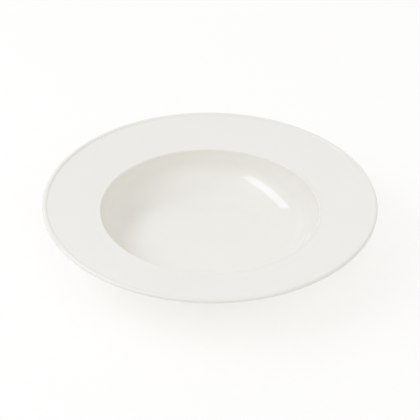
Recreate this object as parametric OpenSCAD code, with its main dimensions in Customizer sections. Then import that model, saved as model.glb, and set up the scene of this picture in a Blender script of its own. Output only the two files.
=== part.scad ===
// Wide-rim pasta bowl: a round, deep well inside a broad sloping rim. A low roll
// marks the verge of the well, and the rim ends in a raised, rounded bead. It is
// shaped and fired in one piece of clay, glazed over the top and down the outside
// to just above the foot, and glazed again inside the foot ring. The foot itself
// is wiped bare, so the two glazes never meet.
//
// Millimetres, +Z up. The origin is the centre of the plane the foot stands on,
// and the Z axis is the axis of the bowl.

/* [Overall] */
// Diameter over the bead at the edge
bowl_d = 300; // [284:1:316]
// Height from the table to the finished floor of the well
floor_h = 8.2; // [7.6:0.1:10]

/* [Well] */
// Diameter of the verge, where the well wall meets the rim
well_d = 196; // [186:1:206]
// Depth from the verge to the floor of the well
well_depth = 35; // [33:0.5:40]
// Slope of the well wall just below the verge, in degrees
wall_slope = 83; // [74:1:85]
// Radius of the curve that turns the floor into the wall
well_curve_r = 38; // [28:1:38]
// Radius of the roll at the verge
verge_r = 1.6; // [1.2:0.1:2.2]
// Height of the roll above the face of the rim
verge_rise = 0.45; // [0.2:0.05:0.7]
// Radius of the shallow hollow where the roll meets the rim
verge_hollow_r = 8; // [5:1:14]
// Thickness of the wall below the verge
wall_t = 4.8; // [4:0.1:6]
// Slope of the outside of the well wall, in degrees
outer_slope = 78; // [74:1:83]

/* [Rim] */
// Slope of the rim above the horizontal, in degrees
rim_slope = 10.4; // [7:0.2:13]
// Extra slope of the underside, so the rim thickens towards the well, in degrees
rim_taper = 2.5; // [0:0.25:3]
// Radius of the rounded outer edge of the bead
bead_r = 1.5; // [1.4:0.05:1.9]
// Radius of the flatter crown of the bead
bead_crown_r = 2.8; // [2.4:0.1:3.2]
// Height of the bead above the face of the rim
bead_rise = 0.7; // [0.5:0.05:1]
// Radius of the hollow where the bead meets the rim
bead_hollow_r = 0.9; // [0.5:0.1:1.5]
// Radius under the rim, where it meets the outside of the well
neck_r = 6; // [3:0.5:6]

/* [Foot] */
// Outer diameter of the land that touches the table
foot_d = 124; // [116:1:130]
// Width of the land, before its edges are rounded
foot_land = 4.4; // [3.6:0.2:6]
// Depth of the hollow inside the foot ring
foot_recess = 3.2; // [2.8:0.1:3.6]
// Draft of the sides of the foot ring, in degrees
foot_draft = 12; // [4:1:20]
// Radius on the edges of the land
foot_edge_r = 0.9; // [0.5:0.1:1.1]
// Radius where the sides of the foot ring meet the base
foot_root_r = 1.2; // [0.8:0.1:1.3]
// Slope of the belly between the foot ring and the outer curve, in degrees
belly_slope = 7; // [4:0.5:8]
// Radius of the outer curve below the well wall
belly_r = 38; // [24:1:38]

/* [Glaze] */
// Thickness of the fired glaze
glaze_t = 0.35; // [0.25:0.05:0.45]
// Height of the bare band at the bottom of the foot ring
bare_h = 1.4; // [1.3:0.1:1.6]
// Length over which the lower edge of the glaze rounds off
glaze_lip = 0.4; // [0.3:0.05:0.5]

/* [Hidden] */
$fn = 240;

clay_colour = [0.90, 0.87, 0.80];
glaze_colour = [0.93, 0.925, 0.905];

// ---- plane geometry -------------------------------------------------------
function unit(v) = v / norm(v);
function heading(a) = [cos(a), sin(a)];

// Where the line through p along u crosses the line through q along v
function crossing(p, u, q, v) =
    let (d = q - p) p + u * ((d.x * v.y - d.y * v.x) / (u.x * v.y - u.y * v.x));

// Points on the arc about c from angle a, through the signed sweep s
function arc(c, r, a, s, step) =
    let (n = max(3, ceil(abs(s) / step)))
    [for (i = [0 : n]) c + r * heading(a + s * i / n)];

// The arc of radius r that rounds the corner p between its two neighbours
function round_corner(before, p, after, r, step) =
    let (
        a = unit(before - p),
        b = unit(after - p),
        half = acos(a * b) / 2,
        c = p + unit(a + b) * r / sin(half),
        t1 = p + a * r / tan(half),
        t2 = p + b * r / tan(half),
        a1 = atan2(t1.y - c.y, t1.x - c.x),
        a2 = atan2(t2.y - c.y, t2.x - c.x),
        sweep = (a2 - a1 + 540) % 360 - 180
    )
    arc(c, r, a1, sweep, step);

// Large curves take finer steps than small ones
function step_for(r) = r > 10 ? 2.5 : 6;

// A line of corners with every inner corner rounded to its own radius
function rounded(corners, radii) =
    [for (i = [0 : len(corners) - 1])
        each (i == 0 || i == len(corners) - 1)
            ? [corners[i]]
            : round_corner(corners[i - 1], corners[i], corners[i + 1],
                           radii[i], step_for(radii[i]))];

function rest(list) = [for (i = [1 : len(list) - 1]) list[i]];
function reversed(list) = [for (i = [len(list) - 1 : -1 : 0]) list[i]];

// The radius r, or the largest that fits a corner turning by the angle turn with this much room
function fitted(r, room, turn) = min(r, room / tan(turn / 2));

// The normal on the right-hand side of the step from p to q
function right_of(p, q) = let (u = unit(q - p)) [u.y, -u.x];

// A line moved sideways to its right by d, with mitred corners
function moved(line, d) =
    [for (i = [0 : len(line) - 1])
        let (
            n1 = right_of(line[max(i - 1, 0)], line[max(i, 1)]),
            n2 = right_of(line[min(i, len(line) - 2)], line[min(i + 1, len(line) - 1)])
        )
        line[i] + d * (n1 + n2) / (1 + n1 * n2)];

// ---- finished outline: half section, from the floor of the well round to the base
rim_dir = heading(rim_slope);
rim_up = [-rim_dir.y, rim_dir.x];
verge = [well_d / 2, floor_h + well_depth];
wall_dir = heading(wall_slope);
knuckle = crossing(verge, wall_dir, [0, floor_h], [1, 0]);

// The bead is a cord let into the edge of the rim: a flat crown that runs on into a rounder edge
crown_a = 58;
from_crown = (bead_crown_r - bead_r) * heading(crown_a);
crown_sink = bead_crown_r - bead_rise;
crown_x = bowl_d / 2 - bead_r - from_crown.x;
crown_c = [crown_x,
           verge.y + (crown_x - verge.x) * tan(rim_slope) - crown_sink / cos(rim_slope)];
bead_c = crown_c + from_crown;
hollow_c = crown_c
    - rim_dir * sqrt(pow(bead_crown_r + bead_hollow_r, 2) - pow(bead_hollow_r + crown_sink, 2))
    + rim_up * (bead_hollow_r + crown_sink);
meet = hollow_c - crown_c;
meet_a = atan2(meet.y, meet.x);

// The underside of the rim leaves the bead at a tangent
under_a = rim_slope + rim_taper;
under_dir = heading(under_a);
bead_end_a = under_a - 90;
bead_end = bead_c + bead_r * heading(bead_end_a);

outer_wall = verge + [wall_t / sin(wall_slope), 0];
outer_dir = heading(outer_slope);
neck = crossing(bead_end, under_dir, outer_wall, outer_dir);
// The foot is drawn one glaze thickness lower, and the bare clay comes back up to the table
land_z = -glaze_t;
flank_run = tan(foot_draft);
foot_out = [foot_d / 2 + glaze_t, land_z];
foot_in = [foot_d / 2 - foot_land - glaze_t, land_z];
base_z = foot_recess;
root_h = base_z + 0.7;
root_out = foot_out + [(root_h - land_z) * flank_run, root_h - land_z];
root_in = [foot_in.x - (base_z - land_z) * flank_run, base_z];
belly = crossing(root_out, heading(belly_slope), outer_wall, outer_dir);

// The verge is a roll that touches the wall and stands above the rim, then dips into it
verge_turn = wall_slope - rim_slope;
roll_start = (verge_rise - verge_r + verge_r * cos(verge_turn)) / sin(verge_turn);
wall_out = [wall_dir.y, -wall_dir.x];
roll_c = verge + wall_dir * roll_start + verge_r * wall_out;
dip_rise = verge_hollow_r + verge_r - verge_rise;
dip_c = roll_c
    + rim_dir * sqrt(pow(verge_r + verge_hollow_r, 2) - pow(dip_rise, 2))
    + rim_up * dip_rise;
roll_a = atan2(dip_c.y - roll_c.y, dip_c.x - roll_c.x);
roll_line = arc(roll_c, verge_r, wall_slope + 90, roll_a - wall_slope - 90, 6);
dip_line = arc(dip_c, verge_hollow_r, roll_a - 180, rim_slope + 90 - roll_a, 2.5);

// The two big curves give way where the straight runs beside them get short
neck_room = neck_r * tan((outer_slope - under_a) / 2);
well_curve = fitted(well_curve_r, norm(verge - knuckle) + roll_start - 0.3, wall_slope);
belly_curve = fitted(belly_r,
    min(norm(neck - belly) - neck_room, norm(belly - root_out) - foot_root_r) - 0.6,
    outer_slope - belly_slope);

outline_top = concat(
    rounded([[0, floor_h], knuckle, roll_line[0]], [0, well_curve, 0]),
    rest(roll_line), rest(dip_line), [hollow_c - rim_up * bead_hollow_r]);
hollow_line = arc(hollow_c, bead_hollow_r, rim_slope - 90,
                  (meet_a - 180 - (rim_slope - 90) + 540) % 360 - 180, 6);
bead_line = concat(arc(crown_c, bead_crown_r, meet_a, crown_a - meet_a, 5),
                   rest(arc(bead_c, bead_r, crown_a, bead_end_a - crown_a, 6)));
outline_under = rounded(
    [bead_end, neck, belly, root_out, foot_out, foot_in, root_in, [0, base_z]],
    [0, neck_r, belly_curve, foot_root_r, foot_edge_r + glaze_t, foot_edge_r + glaze_t,
     foot_root_r, 0]);

finished = concat(outline_top, rest(hollow_line), rest(bead_line), rest(outline_under));
// The clay lies one glaze thickness inside the finished outline
clay = moved(finished, glaze_t);

// ---- glaze: between the two outlines, except on the bare band of the foot
foot_mid = foot_d / 2 - foot_land / 2;
glaze_end_z = bare_h;
glaze_full_z = bare_h + glaze_lip;
first_foot = [for (i = [0 : len(clay) - 1])
    if (clay[i].y < glaze_full_z && clay[i].x > foot_mid) i][0];
last_foot = [for (i = [len(clay) - 1 : -1 : 0])
    if (clay[i].y < glaze_full_z && clay[i].x < foot_mid && i > first_foot) i][0];

// The straight sides of the foot ring, taken from the clay outline itself
out_a = clay[first_foot - 1];
out_b = clay[first_foot];
in_a = clay[last_foot + 1];
in_b = clay[last_foot];
function on_line(a, b, z) = a + (b - a) * ((z - a.y) / (b.y - a.y));

// The rounded lower edge of a glaze that ends on the line from a to b
function lip(a, b, n) =
    let (top = on_line(a, b, glaze_full_z), end = on_line(a, b, glaze_end_z))
    [for (i = [0 : 6])
        let (k = 90 * i / 6)
        top + (end - top) * sin(k) + n * glaze_t * cos(k)];

coat_lip = lip(out_a, out_b, -right_of(out_a, out_b));
base_lip = lip(in_a, in_b, right_of(in_a, in_b));

coat_face = concat([for (i = [0 : first_foot - 1]) finished[i]], coat_lip);
coat_back = concat([for (i = [0 : first_foot - 1]) clay[i]],
                   [on_line(out_a, out_b, glaze_full_z)]);
base_face = concat([for (i = [len(finished) - 1 : -1 : last_foot + 1]) finished[i]], base_lip);
base_back = concat([for (i = [len(clay) - 1 : -1 : last_foot + 1]) clay[i]],
                   [on_line(in_a, in_b, glaze_full_z)]);

// The clay outline carries the ends of both glazes as corners of its own
clay_outline = concat(
    coat_back,
    [on_line(out_a, out_b, glaze_end_z)],
    [for (i = [first_foot : last_foot]) clay[i]],
    [on_line(in_a, in_b, glaze_end_z)],
    reversed(base_back));

// ---- pieces ---------------------------------------------------------------
// Fired clay: well, rim, bead and foot ring in one
module clay_body() {
    color(clay_colour)
    rotate_extrude() polygon(clay_outline);
}

// Glaze over the well, the rim, the bead and the outside, down to the bare foot
module glaze_coat() {
    color(glaze_colour)
    rotate_extrude() polygon(concat(coat_face, reversed(coat_back)));
}

// Glaze on the base inside the foot ring
module base_glaze() {
    color(glaze_colour)
    rotate_extrude() polygon(concat(base_face, reversed(base_back)));
}

clay_body();
glaze_coat();
base_glaze();
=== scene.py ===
import math

import bpy
import numpy as np
from mathutils import Matrix, Vector


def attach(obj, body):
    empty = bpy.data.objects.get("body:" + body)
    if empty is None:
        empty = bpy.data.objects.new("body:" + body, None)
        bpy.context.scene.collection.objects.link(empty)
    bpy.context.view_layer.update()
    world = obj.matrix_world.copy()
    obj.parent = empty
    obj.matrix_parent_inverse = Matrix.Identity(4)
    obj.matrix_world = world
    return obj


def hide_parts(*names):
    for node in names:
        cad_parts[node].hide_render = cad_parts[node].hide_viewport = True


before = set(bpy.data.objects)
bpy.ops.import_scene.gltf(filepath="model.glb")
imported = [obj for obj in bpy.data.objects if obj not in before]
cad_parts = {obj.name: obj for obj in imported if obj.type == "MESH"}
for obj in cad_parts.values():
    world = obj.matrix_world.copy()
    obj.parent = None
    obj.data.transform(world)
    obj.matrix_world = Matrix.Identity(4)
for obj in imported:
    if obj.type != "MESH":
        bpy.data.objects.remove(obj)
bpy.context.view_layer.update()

MM = 0.001

# ---------------------------------------------------------------------------
# Half section of the bowl, in millimetres: the same sizes and the same rules
# as the CAD outline, drawn with closer points.
# ---------------------------------------------------------------------------
BOWL_D, FLOOR_H = 300.0, 8.2
WELL_D, WELL_DEPTH, WALL_SLOPE, WELL_CURVE_R = 196.0, 35.0, 83.0, 38.0
VERGE_R, VERGE_RISE, VERGE_HOLLOW_R, WALL_T, OUTER_SLOPE = 1.6, 0.45, 8.0, 4.8, 78.0
RIM_SLOPE, RIM_TAPER = 10.4, 2.5
BEAD_R, BEAD_RISE, HOLLOW_R, NECK_R = 1.5, 0.7, 0.9, 6.0
CROWN_R, CROWN_A = 2.8, 58.0
FOOT_D, FOOT_LAND, FOOT_RECESS, FOOT_DRAFT = 124.0, 4.4, 3.2, 12.0
FOOT_EDGE_R, FOOT_ROOT_R = 0.9, 1.2
BELLY_SLOPE, BELLY_R = 7.0, 38.0
GLAZE_T, BARE_H, GLAZE_LIP = 0.35, 1.4, 0.4


def heading(deg):
    return np.array([math.cos(math.radians(deg)), math.sin(math.radians(deg))])


def unit(v):
    return v / np.linalg.norm(v)


def crossing(p, u, q, v):
    d = q - p
    return p + u * ((d[0] * v[1] - d[1] * v[0]) / (u[0] * v[1] - u[1] * v[0]))


def arc(c, r, a, sweep, step):
    n = max(3, math.ceil(abs(sweep) / step))
    return [c + r * heading(a + sweep * i / n) for i in range(n + 1)]


def round_corner(before, p, after, r, step):
    a, b = unit(before - p), unit(after - p)
    half = math.acos(float(a @ b)) / 2
    c = p + unit(a + b) * r / math.sin(half)
    t1, t2 = p + a * r / math.tan(half), p + b * r / math.tan(half)
    a1 = math.degrees(math.atan2(*(t1 - c)[::-1]))
    a2 = math.degrees(math.atan2(*(t2 - c)[::-1]))
    return arc(c, r, a1, (a2 - a1 + 540) % 360 - 180, step)


def rounded(corners, radii, fine):
    out = [corners[0]]
    for i in range(1, len(corners) - 1):
        step = (2.2 if radii[i] > 10 else 6.0) * fine
        out += round_corner(corners[i - 1], corners[i], corners[i + 1], radii[i], step)
    return out + [corners[-1]]


def fitted(r, room, turn):
    return min(r, room / math.tan(math.radians(turn) / 2))


def outline(fine=1.0):
    """The finished half section, from the floor of the well over the bead and round to the base."""
    tan = lambda d: math.tan(math.radians(d))
    rim_dir = heading(RIM_SLOPE)
    rim_up = np.array([-rim_dir[1], rim_dir[0]])
    verge = np.array([WELL_D / 2, FLOOR_H + WELL_DEPTH])
    wall_dir = heading(WALL_SLOPE)
    knuckle = crossing(verge, wall_dir, np.array([0.0, FLOOR_H]), np.array([1.0, 0.0]))
    sink = CROWN_R - BEAD_RISE
    from_crown = (CROWN_R - BEAD_R) * heading(CROWN_A)
    crown_x = BOWL_D / 2 - BEAD_R - from_crown[0]
    crown_c = np.array([crown_x, verge[1] + (crown_x - verge[0]) * tan(RIM_SLOPE)
                        - sink / math.cos(math.radians(RIM_SLOPE))])
    bead_c = crown_c + from_crown
    hollow_c = (crown_c - rim_dir * math.sqrt((CROWN_R + HOLLOW_R) ** 2 - (HOLLOW_R + sink) ** 2)
                + rim_up * (HOLLOW_R + sink))
    meet = hollow_c - crown_c
    meet_a = math.degrees(math.atan2(meet[1], meet[0]))
    under_a = RIM_SLOPE + RIM_TAPER
    bead_end_a = under_a - 90
    bead_end = bead_c + BEAD_R * heading(bead_end_a)
    outer_wall = verge + np.array([WALL_T / math.sin(math.radians(WALL_SLOPE)), 0.0])
    outer_dir = heading(OUTER_SLOPE)
    neck = crossing(bead_end, heading(under_a), outer_wall, outer_dir)
    run = tan(FOOT_DRAFT)
    foot_out = np.array([FOOT_D / 2 + GLAZE_T, -GLAZE_T])
    foot_in = np.array([FOOT_D / 2 - FOOT_LAND - GLAZE_T, -GLAZE_T])
    root_h = FOOT_RECESS + 0.7
    root_out = foot_out + np.array([(root_h + GLAZE_T) * run, root_h + GLAZE_T])
    root_in = np.array([foot_in[0] - (FOOT_RECESS + GLAZE_T) * run, FOOT_RECESS])
    belly = crossing(root_out, heading(BELLY_SLOPE), outer_wall, outer_dir)
    turn = math.radians(WALL_SLOPE - RIM_SLOPE)
    roll_start = (VERGE_RISE - VERGE_R + VERGE_R * math.cos(turn)) / math.sin(turn)
    wall_out = np.array([wall_dir[1], -wall_dir[0]])
    roll_c = verge + wall_dir * roll_start + VERGE_R * wall_out
    dip_rise = VERGE_HOLLOW_R + VERGE_R - VERGE_RISE
    dip_c = (roll_c + rim_dir * math.sqrt((VERGE_R + VERGE_HOLLOW_R) ** 2 - dip_rise ** 2)
             + rim_up * dip_rise)
    roll_a = math.degrees(math.atan2(*(dip_c - roll_c)[::-1]))
    roll = arc(roll_c, VERGE_R, WALL_SLOPE + 90, roll_a - WALL_SLOPE - 90, 6 * fine)
    dip = arc(dip_c, VERGE_HOLLOW_R, roll_a - 180, RIM_SLOPE + 90 - roll_a, 2.5 * fine)
    neck_room = NECK_R * tan((OUTER_SLOPE - under_a) / 2)
    well_curve = fitted(WELL_CURVE_R, np.linalg.norm(verge - knuckle) + roll_start - 0.3, WALL_SLOPE)
    belly_curve = fitted(BELLY_R, min(np.linalg.norm(neck - belly) - neck_room,
                                      np.linalg.norm(belly - root_out) - FOOT_ROOT_R) - 0.6,
                         OUTER_SLOPE - BELLY_SLOPE)
    top = rounded([np.array([0.0, FLOOR_H]), knuckle, roll[0]], [0, well_curve, 0], fine)
    top += roll[1:] + dip[1:] + [hollow_c - rim_up * HOLLOW_R]
    hollow = arc(hollow_c, HOLLOW_R, RIM_SLOPE - 90,
                 (meet_a - 180 - (RIM_SLOPE - 90) + 540) % 360 - 180, 8 * fine)
    crown = arc(crown_c, CROWN_R, meet_a, CROWN_A - meet_a, 5 * fine)
    bead = crown + arc(bead_c, BEAD_R, CROWN_A, bead_end_a - CROWN_A, 6 * fine)[1:]
    edge = FOOT_EDGE_R + GLAZE_T
    under = rounded([bead_end, neck, belly, root_out, foot_out, foot_in, root_in,
                     np.array([0.0, FOOT_RECESS])],
                    [0, NECK_R, belly_curve, FOOT_ROOT_R, edge, edge, FOOT_ROOT_R, 0], fine)
    return np.array(top + hollow[1:] + bead[1:] + under[1:])


def closer(line, step):
    """The same line with its long straight runs cut into steps."""
    out = [line[0]]
    for p, q in zip(line[:-1], line[1:]):
        n = max(1, math.ceil(np.linalg.norm(q - p) / step))
        out += [p + (q - p) * (i + 1) / n for i in range(n)]
    return np.array(out)


def thinned(line, tol):
    """The line without the points that lie within tol of the chord past them."""
    keep = np.zeros(len(line), bool)
    keep[[0, -1]] = True
    todo = [(0, len(line) - 1)]
    while todo:
        i, j = todo.pop()
        if j - i < 2:
            continue
        u, d = unit(line[j] - line[i]), line[i + 1:j] - line[i]
        off = np.abs(d[:, 0] * u[1] - d[:, 1] * u[0])
        k = i + 1 + int(off.argmax())
        if off.max() > tol:
            keep[k] = True
            todo += [(i, k), (k, j)]
    return line[keep]


def moved(line, d):
    """The line moved sideways to its right by d, with mitred corners."""
    u = np.diff(line, axis=0)
    u /= np.linalg.norm(u, axis=1)[:, None]
    n = np.stack([u[:, 1], -u[:, 0]], 1)
    n1, n2 = np.vstack([n[:1], n]), np.vstack([n, n[-1:]])
    return line + d * (n1 + n2) / (1 + (n1 * n2).sum(1))[:, None]


def on_line(a, b, z):
    return a + (b - a) * ((z - a[1]) / (b[1] - a[1]))


def lip(a, b, n):
    top, end = on_line(a, b, BARE_H + GLAZE_LIP), on_line(a, b, BARE_H)
    k = np.radians(np.linspace(0, 90, 7))[:, None]
    return top + (end - top) * np.sin(k) + n * GLAZE_T * np.cos(k)


def right_of(p, q):
    u = unit(q - p)
    return np.array([u[1], -u[0]])


def sections(fine, step):
    """The three closed half sections: the glaze coat's face and back, the base glaze's face and back, and the clay."""
    skin = outline(fine)
    clay = moved(skin, GLAZE_T)
    mid = FOOT_D / 2 - FOOT_LAND / 2
    low = clay[:, 1] < BARE_H + GLAZE_LIP
    first = int(np.nonzero(low & (clay[:, 0] > mid))[0][0])
    last = int(np.nonzero(low & (clay[:, 0] < mid) & (np.arange(len(clay)) > first))[0][-1])
    oa, ob, ia, ib = clay[first - 1], clay[first], clay[last + 1], clay[last]
    full = BARE_H + GLAZE_LIP
    coat_face = np.vstack([closer(np.vstack([skin[:first], lip(oa, ob, -right_of(oa, ob))[:1]]), step),
                           lip(oa, ob, -right_of(oa, ob))[1:]])
    coat_back = closer(thinned(np.vstack([clay[:first], on_line(oa, ob, full)]), 0.02), 3 * step)
    base_face = np.vstack([closer(np.vstack([skin[:last:-1], lip(ia, ib, right_of(ia, ib))[:1]]), step),
                           lip(ia, ib, right_of(ia, ib))[1:]])
    base_back = closer(thinned(np.vstack([clay[:last:-1], on_line(ia, ib, full)]), 0.02), 3 * step)
    foot = np.vstack([on_line(oa, ob, BARE_H), clay[first:last + 1], on_line(ia, ib, BARE_H)])
    return coat_face, coat_back, base_face, base_back, closer(foot, 0.35)


# ---------------------------------------------------------------------------
# A fired bowl is never perfectly true. Each offset is a fraction of a
# millimetre, and none of them takes the surface past the nominal outline.
# ---------------------------------------------------------------------------
def fired(r, z, phi):
    lean = np.clip(r / 150.0, 0, 1) ** 2
    warp = 0.10 * (np.cos(2 * phi - 0.7) - 1) + 0.05 * (np.cos(3 * phi + 1.1) - 1)
    oval = 0.06 * (np.cos(2 * phi + 0.4) - 1)
    up = np.clip(z / 40.0, 0, 1)
    return r + (oval - 0.03) * np.clip(r / 150.0, 0, 1), z + warp * lean * up


def glaze_depth(line, reach=1.5):
    """How full the glaze lies along its face: under a half over the edges, over a half in the hollows."""
    u = np.diff(line, axis=0)
    turn = np.zeros(len(line))
    turn[1:-1] = np.diff(np.unwrap(np.arctan2(u[:, 1], u[:, 0])))
    along = np.concatenate([[0], np.cumsum(np.linalg.norm(u, axis=1))])
    near = np.exp(-((along[:, None] - along[None]) / reach) ** 2)
    return np.clip(0.5 + 0.38 * near @ turn, 0, 1)


def lathe(name, loop, segments, on_axis, depth=None):
    """Revolves an axis-to-axis line of (r, z) points into one closed mesh; depth is kept as an attribute."""
    line = np.asarray(loop, float)
    phi = np.arange(segments) * (2 * math.pi / segments)
    verts, rows, full = [], [], []
    for k, (r, z) in enumerate(line):
        full += [0.5 if depth is None or k >= len(depth) else float(depth[k])] * (
            1 if r < 1e-6 and on_axis else segments)
        if r < 1e-6 and on_axis:
            rows.append([len(verts)])
            verts.append((0.0, 0.0, z * MM))
            continue
        rr, zz = fired(np.full(segments, r), np.full(segments, z), phi)
        rows.append(list(range(len(verts), len(verts) + segments)))
        verts += list(zip(rr * np.cos(phi) * MM, rr * np.sin(phi) * MM, zz * MM))
    faces = []
    pairs = list(zip(rows[:-1], rows[1:]))
    if not on_axis:
        pairs.append((rows[-1], rows[0]))
    for a, b in pairs:
        if len(a) == 1 and len(b) == 1:
            continue
        for i in range(segments):
            j = (i + 1) % segments
            if len(a) == 1:
                faces.append((a[0], b[i], b[j]))
            elif len(b) == 1:
                faces.append((a[i], b[0], a[j]))
            else:
                faces.append((a[i], b[i], b[j], a[j]))
    mesh = bpy.data.meshes.new(name)
    mesh.from_pydata(verts, [], faces)
    mesh.attributes.new("glaze_depth", "FLOAT", "POINT").data.foreach_set("value", full)
    mesh.validate()
    mesh.shade_smooth()
    mesh.set_sharp_from_angle(angle=math.radians(50))
    obj = bpy.data.objects.new(name, mesh)
    bpy.context.scene.collection.objects.link(obj)
    return obj


SEGMENTS = 304
coat_face, coat_back, base_face, base_back, foot = sections(1.0, 6.0)
glaze_skin = lathe("glaze_skin", np.vstack([coat_face, coat_back[::-1]]), SEGMENTS, True,
                   glaze_depth(coat_face))
foot_glaze = lathe("foot_glaze", np.vstack([base_face, base_back[::-1]]), SEGMENTS, True,
                   1 - glaze_depth(base_face))
clay_core = lathe("clay_core", np.vstack([coat_back, foot, base_back[::-1]]), SEGMENTS, True)


# ---------------------------------------------------------------------------
# Materials
# ---------------------------------------------------------------------------
def new_material(name):
    m = bpy.data.materials.new(name)
    m.use_nodes = True
    nt = m.node_tree
    nt.nodes.clear()
    out = nt.nodes.new("ShaderNodeOutputMaterial")
    bsdf = nt.nodes.new("ShaderNodeBsdfPrincipled")
    nt.links.new(bsdf.outputs["BSDF"], out.inputs["Surface"])
    return m, nt, bsdf


def noise_node(nt, vector, scale, detail, rough=0.5):
    n = nt.nodes.new("ShaderNodeTexNoise")
    n.inputs["Scale"].default_value = scale
    n.inputs["Detail"].default_value = detail
    n.inputs["Roughness"].default_value = rough
    nt.links.new(vector, n.inputs["Vector"])
    return n.outputs["Fac"]


def ramp_node(nt, value, *stops):
    n = nt.nodes.new("ShaderNodeValToRGB")
    while len(n.color_ramp.elements) < len(stops):
        n.color_ramp.elements.new(0.5)
    for e, (at, colour) in zip(n.color_ramp.elements, stops):
        e.position, e.color = at, (*colour, 1)
    nt.links.new(value, n.inputs["Fac"])
    return n.outputs["Color"]


def spread(nt, value, low, high):
    """Noise lies mostly between 0.3 and 0.7; this spreads it between two numbers."""
    n = nt.nodes.new("ShaderNodeMapRange")
    for key, v in (("From Min", 0.3), ("From Max", 0.7), ("To Min", low), ("To Max", high)):
        n.inputs[key].default_value = v
    nt.links.new(value, n.inputs["Value"])
    return n.outputs["Result"]


def bump_node(nt, height, strength, distance, under=None):
    n = nt.nodes.new("ShaderNodeBump")
    n.inputs["Strength"].default_value = strength
    n.inputs["Distance"].default_value = distance
    nt.links.new(height, n.inputs["Height"])
    if under is not None:
        nt.links.new(under, n.inputs["Normal"])
    return n.outputs["Normal"]


def glaze_material(name):
    """Warm white glaze: faint clouds in its colour, thinner and warmer over the edges, with a soft, shallow ripple."""
    m, nt, bsdf = new_material(name)
    at = nt.nodes.new("ShaderNodeTexCoord").outputs["Object"]
    cloud = ramp_node(nt, noise_node(nt, at, 14.0, 3.0), (0.3, GLAZE_LOW), (0.7, GLAZE_HIGH))
    depth = nt.nodes.new("ShaderNodeAttribute")
    depth.attribute_name = "glaze_depth"
    thin = ramp_node(nt, depth.outputs["Fac"], (0.0, (0.997, 0.993, 0.985)), (0.45, (1.0, 1.0, 1.0)),
                     (0.55, (1.0, 1.0, 1.0)), (1.0, (1.0, 1.002, 1.006)))
    both = nt.nodes.new("ShaderNodeMix")
    both.data_type, both.blend_type = "RGBA", "MULTIPLY"
    both.inputs[0].default_value = 1.0
    nt.links.new(cloud, both.inputs[6])
    nt.links.new(thin, both.inputs[7])
    nt.links.new(both.outputs[2], bsdf.inputs["Base Color"])
    nt.links.new(spread(nt, noise_node(nt, at, 48.0, 4.0), 0.010, 0.020), bsdf.inputs["Roughness"])
    bsdf.inputs["IOR"].default_value = 1.6
    ripple = bump_node(nt, noise_node(nt, at, 45.0, 1.0), 0.05, 0.0002)
    peel = bump_node(nt, noise_node(nt, at, 420.0, 1.0), 0.05, 0.00001, ripple)
    nt.links.new(peel, bsdf.inputs["Normal"])
    return m


def clay_material(name):
    """Dry fired clay: fine grain, a few darker specks, and the rings that the turning tool left."""
    m, nt, bsdf = new_material(name)
    at = nt.nodes.new("ShaderNodeTexCoord").outputs["Object"]
    body = ramp_node(nt, noise_node(nt, at, 900.0, 4.0, 0.6), (0.30, (0.66, 0.60, 0.51)), (0.66, (0.79, 0.74, 0.65)))
    speck = ramp_node(nt, noise_node(nt, at, 2600.0, 2.0), (0.30, (0.62, 0.52, 0.42)), (0.40, (1.0, 1.0, 1.0)))
    both = nt.nodes.new("ShaderNodeMix")
    both.data_type, both.blend_type = "RGBA", "MULTIPLY"
    both.inputs[0].default_value = 1.0
    nt.links.new(body, both.inputs[6])
    nt.links.new(speck, both.inputs[7])
    nt.links.new(both.outputs[2], bsdf.inputs["Base Color"])
    nt.links.new(spread(nt, noise_node(nt, at, 700.0, 2.0), 0.72, 0.92), bsdf.inputs["Roughness"])
    flat = nt.nodes.new("ShaderNodeVectorMath")
    flat.operation = "MULTIPLY"
    nt.links.new(at, flat.inputs[0])
    flat.inputs[1].default_value = (1, 1, 0)
    out = nt.nodes.new("ShaderNodeVectorMath")
    out.operation = "LENGTH"
    nt.links.new(flat.outputs[0], out.inputs[0])
    rings = nt.nodes.new("ShaderNodeTexNoise")
    rings.noise_dimensions = "1D"
    rings.inputs["Scale"].default_value = 2200.0
    rings.inputs["Detail"].default_value = 2.0
    nt.links.new(out.outputs["Value"], rings.inputs["W"])
    turned = bump_node(nt, rings.outputs["Fac"], 0.45, 0.00012)
    grain = bump_node(nt, noise_node(nt, at, 1500.0, 4.0), 0.5, 0.00015, turned)
    nt.links.new(grain, bsdf.inputs["Normal"])
    return m


GLAZE_LOW, GLAZE_HIGH = (0.9546, 0.919, 0.838), (0.9666, 0.933, 0.855)
GLAZE = glaze_material("glaze")
CLAY = clay_material("fired_clay")
glaze_skin.data.materials.append(GLAZE)
foot_glaze.data.materials.append(GLAZE)
clay_core.data.materials.append(CLAY)

for piece, node, slot in ((glaze_skin, "glaze_coat", "glaze"), (foot_glaze, "base_glaze", "glaze"),
                          (clay_core, "clay_body", "fired_clay")):
    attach(piece, "root")
    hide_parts(node)


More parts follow.
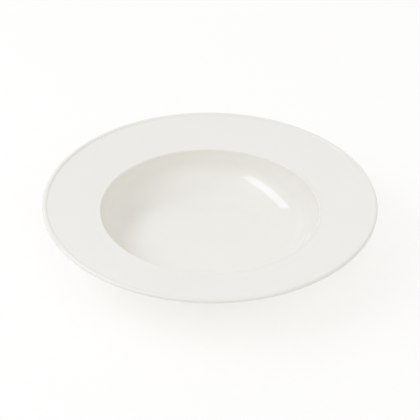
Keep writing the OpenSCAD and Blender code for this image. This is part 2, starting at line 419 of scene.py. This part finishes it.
# ---------------------------------------------------------------------------
# Floor, light and camera
# ---------------------------------------------------------------------------
def floor_disc(radius, segments=96):
    verts = [(0, 0, 0)] + [(radius * math.cos(2 * math.pi * i / segments),
                            radius * math.sin(2 * math.pi * i / segments), 0) for i in range(segments)]
    faces = [(0, 1 + i, 1 + (i + 1) % segments) for i in range(segments)]
    mesh = bpy.data.meshes.new("floor")
    mesh.from_pydata(verts, [], faces)
    obj = bpy.data.objects.new("floor", mesh)
    bpy.context.scene.collection.objects.link(obj)
    m, nt, bsdf = new_material("floor_paper")
    bsdf.inputs["Base Color"].default_value = (0.93, 0.918, 0.890, 1)
    bsdf.inputs["Roughness"].default_value = 1.0
    bsdf.inputs["Specular IOR Level"].default_value = 0.0
    # White paper on a light table: it looks whiter than its light alone would make it
    N, L = nt.nodes.new, nt.links.new
    paper, glow, lit = N("ShaderNodeBsdfDiffuse"), N("ShaderNodeEmission"), N("ShaderNodeAddShader")
    paper.inputs["Color"].default_value = (0.33, 0.32, 0.30, 1)
    glow.inputs["Strength"].default_value = FLOOR_GLOW
    L(paper.outputs[0], lit.inputs[0])
    L(glow.outputs[0], lit.inputs[1])
    seen = N("ShaderNodeMixShader")
    L(N("ShaderNodeLightPath").outputs["Is Camera Ray"], seen.inputs["Fac"])
    L(bsdf.outputs[0], seen.inputs[1])
    L(lit.outputs[0], seen.inputs[2])
    L(seen.outputs[0], nt.nodes["Material Output"].inputs["Surface"])
    mesh.materials.append(m)
    return obj


FLOOR_GLOW = 0.70
floor_disc(9.0)

AMBIENT_TINT = (0.989, 1.003, 1.015)
KEY_TINT = (0.84, 0.945, 1.239)


def studio_world(base, lobes, seen):
    """A pale room with soft lights in it, each a smooth lobe; the camera itself sees one plain tone behind the floor."""
    w = bpy.data.worlds.new("studio")
    bpy.context.scene.world = w
    w.use_nodes = True
    nt = w.node_tree
    nt.nodes.clear()
    N, L = nt.nodes.new, nt.links.new

    def put(sock, v):
        if isinstance(v, bpy.types.NodeSocket):
            L(v, sock)
        else:
            sock.default_value = v

    def math_node(op, a, b=0.0, c=0.0):
        n = N("ShaderNodeMath")
        n.operation = op
        for sock, v in zip(n.inputs, (a, b, c)):
            put(sock, v)
        return n.outputs[0]

    def dot(v, const):
        n = N("ShaderNodeVectorMath")
        n.operation = "DOT_PRODUCT"
        L(v, n.inputs[0])
        n.inputs[1].default_value = const
        return n.outputs["Value"]

    ray = N("ShaderNodeTexCoord").outputs["Generated"]
    total = base
    for strength, direction, sharp in lobes:
        fall = math_node("EXPONENT", math_node("MULTIPLY_ADD", dot(ray, direction), sharp, -sharp))
        total = math_node("MULTIPLY_ADD", fall, strength, total)
    bg = N("ShaderNodeBackground")
    bg.inputs["Color"].default_value = (*AMBIENT_TINT, 1)
    L(total, bg.inputs["Strength"])
    plain = N("ShaderNodeBackground")
    plain.inputs["Color"].default_value = seen
    mix = N("ShaderNodeMixShader")
    L(N("ShaderNodeLightPath").outputs["Is Camera Ray"], mix.inputs["Fac"])
    L(bg.outputs[0], mix.inputs[1])
    L(plain.outputs[0], mix.inputs[2])
    L(mix.outputs[0], N("ShaderNodeOutputWorld").inputs["Surface"])


def towards(az, el):
    a, e = math.radians(az), math.radians(el)
    return (math.cos(e) * math.cos(a), math.cos(e) * math.sin(a), math.sin(e))


# A pale room, lightest behind; a soft light over the front right, the spill round the strip on the left,
# a low light at the back left, and a dark flag at the back right
studio_world(0.05, [(0.8548, towards(64.3, 21.0), 0.57), (0.92, towards(-157.7, 44.5), 12.6),
                    (0.733, towards(-68.2, 47.9), 8.0), (-0.673, towards(41.9, 40.5), 18.0),
                    (0.546, towards(135.1, 5.2), 17.8), (0.13, towards(70.0, 30.0), 40.0)], (0.9617, 0.9582, 0.9465, 1))


def area_light(name, centre, size_x, size_y, radiance, aim=(0, 0, 0.03), along=(0, 1, -0.07)):
    """A rectangular softbox facing aim, its long side along the given direction, of the given radiance."""
    data = bpy.data.lights.new(name, "AREA")
    data.shape = "RECTANGLE"
    data.size, data.size_y = size_x, size_y
    data.energy = radiance * math.pi * size_x * size_y
    data.color = KEY_TINT
    obj = bpy.data.objects.new(name, data)
    z = (Vector(centre) - Vector(aim)).normalized()
    x = (Vector(along) - z * z.dot(Vector(along))).normalized()
    y = z.cross(x)
    m = Matrix((x, y, z)).transposed().to_4x4()
    m.translation = Vector(centre)
    obj.matrix_world = m
    bpy.context.scene.collection.objects.link(obj)
    return obj


# One strip softbox on the left, its long side nearly level
KEY_DIST, KEY_EL = 1.2, 46.5
key_at = Vector((0, 0, 0.03)) + Vector(towards(180, KEY_EL)) * KEY_DIST
key_shift = Vector((0, -0.0875 * KEY_DIST, 0))
area_light("key_softbox", key_at + key_shift, 1.105 * KEY_DIST, 0.265 * KEY_DIST, 1.905,
           aim=Vector((0, 0, 0.03)) + key_shift)

cam_data = bpy.data.cameras.new("camera")
cam_data.lens = 176.55
cam_data.sensor_width = 36.0
cam_data.clip_start, cam_data.clip_end = 0.01, 100.0
cam = bpy.data.objects.new("camera", cam_data)
bpy.context.scene.collection.objects.link(cam)
el, roll, dist = math.radians(34.490), math.radians(-0.578), 1.85
fwd = Vector((0, math.cos(el), -math.sin(el)))
right = Vector((1, 0, 0))
up = right.cross(fwd)
rx = right * math.cos(roll) - up * math.sin(roll)
ux = right * math.sin(roll) + up * math.cos(roll)
m = Matrix((rx, ux, -fwd)).transposed().to_4x4()
m.translation = Vector((0.00006, 0, 0.041973)) - fwd * dist
cam.matrix_world = m
bpy.context.scene.camera = cam

view = bpy.context.scene.view_settings
view.view_transform = "Standard"
view.look = "None"
view.exposure = 0.0
view.gamma = 1.0

# Glossy clay throws light back and forth inside the well many times
light_paths = bpy.context.scene.cycles
light_paths.max_bounces, light_paths.glossy_bounces, light_paths.diffuse_bounces = 24, 16, 8
light_paths.use_denoising = True
